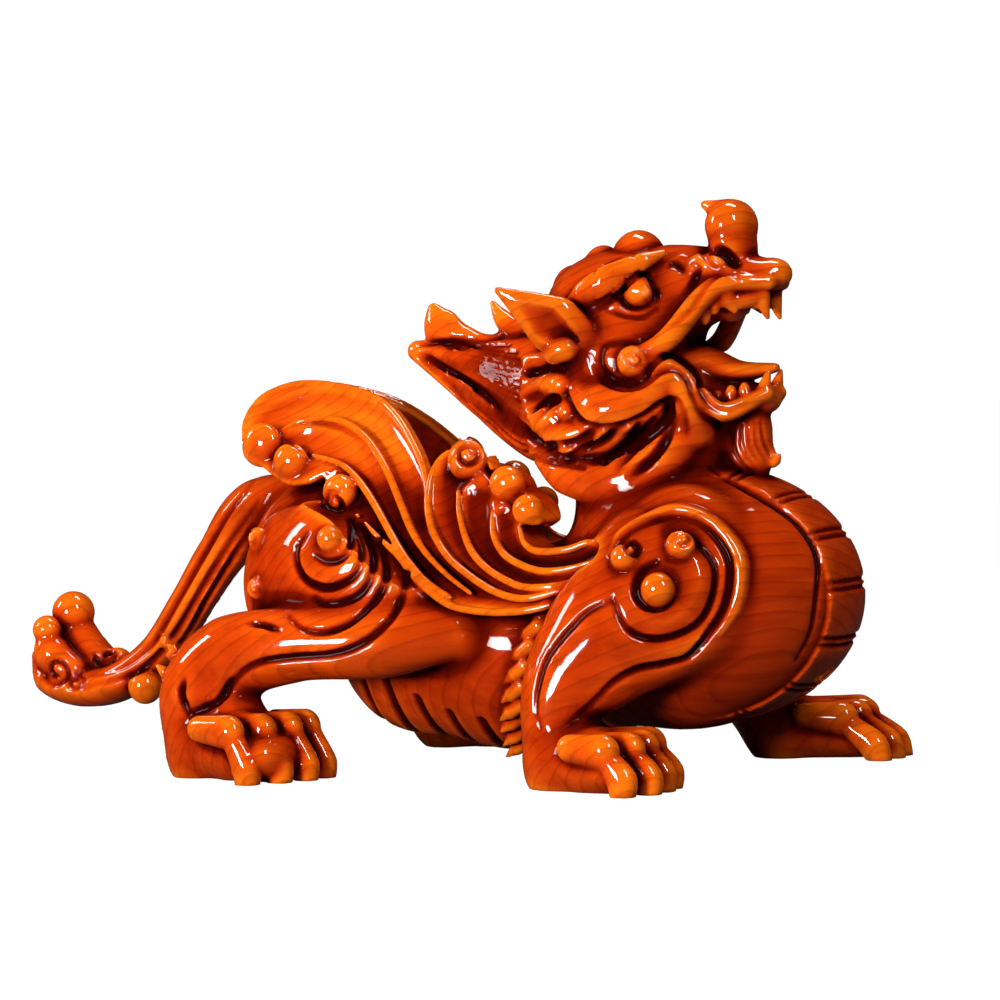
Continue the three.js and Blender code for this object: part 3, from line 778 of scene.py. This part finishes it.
MANE_LINES = (
    [(416, 344), (434, 341), (457, 337), (482, 337), (500, 333)],
    [(417, 345), (454, 344), (492, 350), (522, 357)],
    [(421, 350), (457, 359), (492, 367), (522, 373)],
    [(423, 354), (461, 375), (496, 390), (519, 399)],
    [(423, 355), (467, 382), (503, 411), (534, 434)],
    [(417, 354), (457, 386), (496, 421), (534, 443), (563, 452)],
    [(414, 355), (433, 371), (454, 390), (463, 405), (492, 430), (522, 455), (553, 466), (590, 472)],
)
MANE_STRANDS = (3, 3, 4, 5, 4, 3)
TUFTS = (
    [(566, 350), (545, 357), (522, 358)],
    [(562, 384), (540, 384), (520, 394)],
    [(566, 412), (547, 420), (533, 430)],
)
TUFT_GAPS = ([(556, 366), (538, 371), (524, 372)], [(558, 398), (542, 404), (530, 410)])
LOCKS = (
    [(672, 405), (668, 418), (657, 430), (642, 442), (630, 452), (617, 468)],
    [(640, 424), (628, 442), (612, 455), (594, 462)],
    [(622, 426), (607, 440), (590, 450), (569, 456)],
    [(672, 426), (661, 447), (645, 464), (630, 476)],
    [(596, 428), (584, 440), (568, 446), (552, 446)],
    [(655, 420), (642, 436), (628, 448), (606, 464)],
)


def carve_mane():
    """The mane that sweeps back to a point, the horn laid on it, and two locks on each side of the neck."""
    limb([(120, 0, 143), (94, 0, 150), (68, 0, 153), (44, 0, 160), (24, 0, 167), (3, 0, 174)],
         [30, 29, 28, 19, 12, 4.5], [30, 30, 24, 15, 10, 5], blend=6)
    limb([(84, 0, 194), (60, 0, 184), (40, 0, 175), (25, 0, 176), (15, 0, 183), (11, 0, 191)],
         [9, 6, 5, 8, 8.5, 3], [8, 6, 5, 6, 5, 2.5], blend=2)
    limb([(52, 0, 180), (44, 0, 186), (39, 0, 193)], [5, 4, 1.2], blend=2)
    for side in (RIGHT, LEFT):
        limb(on_side(side, [(140, 18, 142), (126, 25, 127), (106, 27, 119), (85, 26, 123), (64, 18, 136)]),
             [5, 8, 9, 9, 3], [5, 7, 8, 7, 3], blend=4)
        limb(on_side(side, [(108, 29, 140), (90, 32, 138), (74, 26, 145), (56, 17, 152)]), [7, 8, 6, 2],
             blend=3)


def carve_locks():
    for one, other, count in zip(MANE_LINES, MANE_LINES[1:], MANE_STRANDS):
        strands(one, other, count, 1.6, 1.2, 0.1, 0.7)
    for pixels in TUFTS:
        for line in flanks(seen(pixels)):
            roll(line, 4.0, 5.5, 0.9, 0.05, taper=0.9)
    cut_lines(TUFT_GAPS, 4.0, 2.4, 0.4, 0.3)
    cut_lines(LOCKS, 3.6, 2.4, 0.3, 0.2)


def level_soles():
    """Cuts the wood off flat at the ground."""
    heights = wood.low[2] + VOXEL * np.arange(wood.shape[2], dtype=np.float32)
    wood.field = np.maximum(wood.field, -heights)


def carve():
    """The whole figure. Lines that follow the photograph come after the forms that they are cut into."""
    carve_trunk()
    for side in (RIGHT, LEFT):
        carve_foreleg(side)
        carve_hindleg(side)
    carve_tail()
    carve_head()
    carve_mane()
    for side in (RIGHT, LEFT):
        carve_face(side)
    carve_plates()
    carve_belly()
    for side in (RIGHT, LEFT):
        carve_wing(side)
    carve_shoulder()
    carve_hip()
    cut_lines([CHEST_LINE], 1.6, 1.3)
    carve_face_lines()
    carve_locks()
    level_soles()


def mesh_of(block):
    """The wood's surface as a mesh in metres, kept inside the solid's box."""
    depth = 3.0
    grid = openvdb.FloatGrid(depth)
    grid.copyFromArray(np.clip(block.field, -depth, depth))
    points, triangles, quads = grid.convertToPolygons(isovalue=0.0, adaptivity=0.0)
    points = (block.low + np.asarray(points) * VOXEL) * MM
    points = np.clip(points, CAD_BOX[0], CAD_BOX[1])
    faces = np.vstack([triangles, quads[:, [0, 1, 2]], quads[:, [0, 2, 3]]]).astype(np.int32)
    mesh = bpy.data.meshes.new("pixiu_wood")
    mesh.vertices.add(len(points))
    mesh.vertices.foreach_set("co", points.astype(np.float32).ravel())
    mesh.loops.add(faces.size)
    mesh.loops.foreach_set("vertex_index", faces.ravel())
    mesh.polygons.add(len(faces))
    mesh.polygons.foreach_set("loop_start", np.arange(0, faces.size, 3, dtype=np.int32))
    mesh.update(calc_edges=True)
    mesh.validate()
    return mesh


def thinned(mesh, most):
    """A copy of a mesh with no more than most triangles, fewer where it is flat."""
    piece = bpy.data.objects.new("pixiu_wood", mesh)
    bpy.context.scene.collection.objects.link(piece)
    fewer = piece.modifiers.new("fewer", "DECIMATE")
    fewer.ratio = min(1.0, most / len(mesh.polygons))
    depsgraph = bpy.context.evaluated_depsgraph_get()
    result = bpy.data.meshes.new_from_object(piece.evaluated_get(depsgraph))
    bpy.data.objects.remove(piece)
    return result


def blurred(field, reach):
    """A field averaged over reach voxels to each side along every axis."""
    for axis in range(3):
        sums = np.cumsum(np.pad(field, [(reach + 1, reach) if k == axis else (0, 0) for k in range(3)],
                                mode="edge"), axis=axis, dtype=np.float64)
        ahead = np.take(sums, range(2 * reach + 1, sums.shape[axis]), axis=axis)
        behind = np.take(sums, range(0, sums.shape[axis] - 2 * reach - 1), axis=axis)
        field = ((ahead - behind) / (2 * reach + 1)).astype(np.float32)
    return field


# Relief is above 0 where the surface stands out of the wood within these reaches, and below 0 in hollows.
# The wood's colour uses it as painted shade, darker in the hollows, and as painted light, lighter on the
# ridges.
HOLLOW_REACHES = (4.5, 9.0)
HOLLOW_BAND = 3.0
WIDE_SHARE = 0.25


def mark_relief(mesh):
    """Gives each vertex its relief, which paints shade into the hollows and light onto the ridges of the
    wood's colour and sets its gloss, and the carved surface's normal.
    """
    points = np.empty(len(mesh.vertices) * 3, np.float32)
    mesh.vertices.foreach_get("co", points)
    points = points.reshape(-1, 3) / MM
    skin = np.clip(wood.field / HOLLOW_BAND, -1, 1)
    near, wide = (wood.at(points, blurred(skin, round(reach / VOXEL))) for reach in HOLLOW_REACHES)
    relief = mesh.attributes.new("relief", "FLOAT", "POINT")
    relief.data.foreach_set("value", (near + WIDE_SHARE * wide).astype(np.float32))
    mesh.normals_split_custom_set_from_vertices(wood.normals(points, 1.0))


carve()
statue = bpy.data.objects.new("pixiu_carving", thinned(mesh_of(wood), MOST_TRIANGLES))
bpy.context.scene.collection.objects.link(statue)
statue.data.polygons.foreach_set("use_smooth", np.ones(len(statue.data.polygons), bool))
mark_relief(statue.data)


def colour_ramp(tree, stops):
    ramp = tree.nodes.new("ShaderNodeValToRGB")
    elements = ramp.color_ramp.elements
    while len(elements) < len(stops):
        elements.new(0.5)
    for element, (place, colour) in zip(elements, stops):
        element.position = place
        element.color = (*colour, 1)
    return ramp


def rosewood():
    """Lacquered wood with growth rings, fibres and cloudy patches, glossed by relief, with painted shade in
    the hollows and painted light on the ridges of its colour, also set by relief.
    """
    material = bpy.data.materials.new("rosewood")
    material.use_nodes = True
    tree = material.node_tree
    shader = tree.nodes["Principled BSDF"]

    def node(kind, **inputs):
        made = tree.nodes.new("ShaderNode" + kind)
        for name, value in inputs.items():
            made.inputs[name.replace("_", " ")].default_value = value
        return made

    place = node("TexCoord")
    turned = node("Mapping", Location=(0.0, 0.25, 0.12), Rotation=(0.0, 0.1, -0.7))
    tree.links.new(place.outputs["Object"], turned.inputs["Vector"])

    rings = node("TexWave", Scale=62.0, Distortion=2.2, Detail=2.0, Detail_Scale=0.5)
    rings.wave_type = "RINGS"
    rings.rings_direction = "X"
    rings.wave_profile = "SAW"
    tree.links.new(turned.outputs["Vector"], rings.inputs["Vector"])

    stretched = node("Mapping", Scale=(14.0, 160.0, 160.0))
    tree.links.new(turned.outputs["Vector"], stretched.inputs["Vector"])
    streaks = node("TexNoise", Scale=1.0, Detail=5.0, Roughness=0.6)
    tree.links.new(stretched.outputs["Vector"], streaks.inputs["Vector"])
    clouds = node("TexNoise", Scale=14.0, Detail=2.0)
    tree.links.new(turned.outputs["Vector"], clouds.inputs["Vector"])

    relief = node("Attribute")
    relief.attribute_name = "relief"
    height = node("MapRange", From_Min=-0.28, From_Max=0.36)
    tree.links.new(relief.outputs["Fac"], height.inputs["Value"])
    # Painted shade and painted light: by relief, the colour runs from near black in the hollows to
    # yellow-orange on the ridges, standing in for shade and light on the carving.
    painted_shade_ramp = colour_ramp(tree, [(0.0, (0.03, 0.001, 0.0005)), (0.3, (0.17, 0.006, 0.0005)),
                                (0.5, (0.5, 0.033, 0.001)), (0.75, (0.72, 0.075, 0.002)),
                                (1.0, (0.9, 0.16, 0.004))])
    tree.links.new(height.outputs["Result"], painted_shade_ramp.inputs["Fac"])

    lines = colour_ramp(tree, [(0.0, (1, 1, 1)), (0.7, (0.9, 0.86, 0.8)), (0.93, (0.55, 0.42, 0.35)),
                               (1.0, (0.9, 0.9, 0.9))])
    tree.links.new(rings.outputs["Fac"], lines.inputs["Fac"])
    fibres = colour_ramp(tree, [(0.3, (0.62, 0.5, 0.42)), (0.55, (1, 1, 1)), (0.75, (1.15, 1.2, 1.2))])
    tree.links.new(streaks.outputs["Fac"], fibres.inputs["Fac"])
    patches = colour_ramp(tree, [(0.35, (0.78, 0.7, 0.7)), (0.65, (1.1, 1.12, 1.1))])
    tree.links.new(clouds.outputs["Fac"], patches.inputs["Fac"])
    colour = painted_shade_ramp.outputs["Color"]
    for layer, amount in ((lines, 0.55), (fibres, 0.7), (patches, 0.8)):
        mixed = tree.nodes.new("ShaderNodeMix")
        mixed.data_type = "RGBA"
        mixed.blend_type = "MULTIPLY"
        mixed.inputs["Factor"].default_value = amount
        tree.links.new(colour, mixed.inputs["A"])
        tree.links.new(layer.outputs["Color"], mixed.inputs["B"])
        colour = mixed.outputs["Result"]
    tree.links.new(colour, shader.inputs["Base Color"])

    bump = node("Bump", Strength=0.08, Distance=0.0004)
    tree.links.new(streaks.outputs["Fac"], bump.inputs["Height"])
    tree.links.new(bump.outputs["Normal"], shader.inputs["Normal"])
    polish = node("MapRange", From_Min=-0.1, From_Max=0.15, To_Min=0.05, To_Max=1.0)
    tree.links.new(relief.outputs["Fac"], polish.inputs["Value"])
    tree.links.new(polish.outputs["Result"], shader.inputs["Coat Weight"])
    shader.inputs["Roughness"].default_value = 0.45
    shader.inputs["Specular IOR Level"].default_value = 0.0
    shader.inputs["Coat Roughness"].default_value = 0.06
    shader.inputs["Coat IOR"].default_value = 1.5
    return material


statue.data.materials.append(rosewood())
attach(statue, "root")
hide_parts("pixiu")


def add_camera():
    data = bpy.data.cameras.new("camera")
    camera = bpy.data.objects.new("camera", data)
    bpy.context.scene.collection.objects.link(camera)
    camera.location = Vector(EYE * MM)
    camera.rotation_mode = "QUATERNION"
    facing = Vector(-EYE_BACK).to_track_quat("-Z", "Y")
    camera.rotation_quaternion = facing @ Quaternion((0, 0, 1), radians(-CAMERA_ROLL))
    data.sensor_width = 36.0
    data.lens = data.sensor_width * FOCAL_PIXELS / PHOTO_PIXELS
    data.clip_start = 0.05
    data.clip_end = 50.0
    bpy.context.scene.camera = camera


def add_light(name, place, aim, size, power):
    data = bpy.data.lights.new(name, "AREA")
    data.shape = "RECTANGLE"
    data.size, data.size_y = size
    data.energy = power
    light = bpy.data.objects.new(name, data)
    bpy.context.scene.collection.objects.link(light)
    light.location = place
    light.rotation_euler = (Vector(aim) - Vector(place)).to_track_quat("-Z", "Y").to_euler()


def add_floor():
    """A wide pale floor that looks as bright as the backdrop, with soft shadows under the statue."""
    bpy.ops.mesh.primitive_plane_add(size=30.0)
    floor = bpy.context.object
    floor.name = "floor"
    material = bpy.data.materials.new("pale_floor")
    material.use_nodes = True
    tree = material.node_tree
    shader = tree.nodes["Principled BSDF"]
    shader.inputs["Base Color"].default_value = (0.07, 0.06, 0.05, 1)
    shader.inputs["Roughness"].default_value = 1.0
    shader.inputs["Specular IOR Level"].default_value = 0.0
    shader.inputs["Emission Color"].default_value = (1, 1, 1, 1)
    path = tree.nodes.new("ShaderNodeLightPath")
    bright = tree.nodes.new("ShaderNodeMath")
    bright.operation = "MULTIPLY"
    bright.inputs[1].default_value = 1.0
    tree.links.new(path.outputs["Is Camera Ray"], bright.inputs[0])
    tree.links.new(bright.outputs["Value"], shader.inputs["Emission Strength"])
    floor.data.materials.append(material)


def add_world():
    """A white backdrop for the camera, which lights the statue only softly."""
    world = bpy.data.worlds.new("studio")
    world.use_nodes = True
    tree = world.node_tree
    background = tree.nodes["Background"]
    background.inputs["Color"].default_value = (1, 1, 1, 1)
    path = tree.nodes.new("ShaderNodeLightPath")
    strength = tree.nodes.new("ShaderNodeMapRange")
    strength.inputs["To Min"].default_value = 0.015
    strength.inputs["To Max"].default_value = 1.05
    tree.links.new(path.outputs["Is Camera Ray"], strength.inputs["Value"])
    tree.links.new(strength.outputs["Result"], background.inputs["Strength"])
    bpy.context.scene.world = world


add_camera()
add_light("key", (-0.35, -1.7, 0.3), (0.05, 0, 0.1), (0.4, 0.4), 35)
add_light("right", (1.15, -0.8, 1.1), (0.1, 0, 0.1), (0.2, 0.6), 13)
add_light("left", (-1.3, -0.5, 0.8), (0.0, 0, 0.1), (0.25, 0.5), 8)
add_light("top", (0.1, 0.35, 1.5), (0.05, 0, 0.1), (0.7, 0.25), 10)
add_floor()
add_world()
bpy.context.scene.view_settings.view_transform = "Standard"
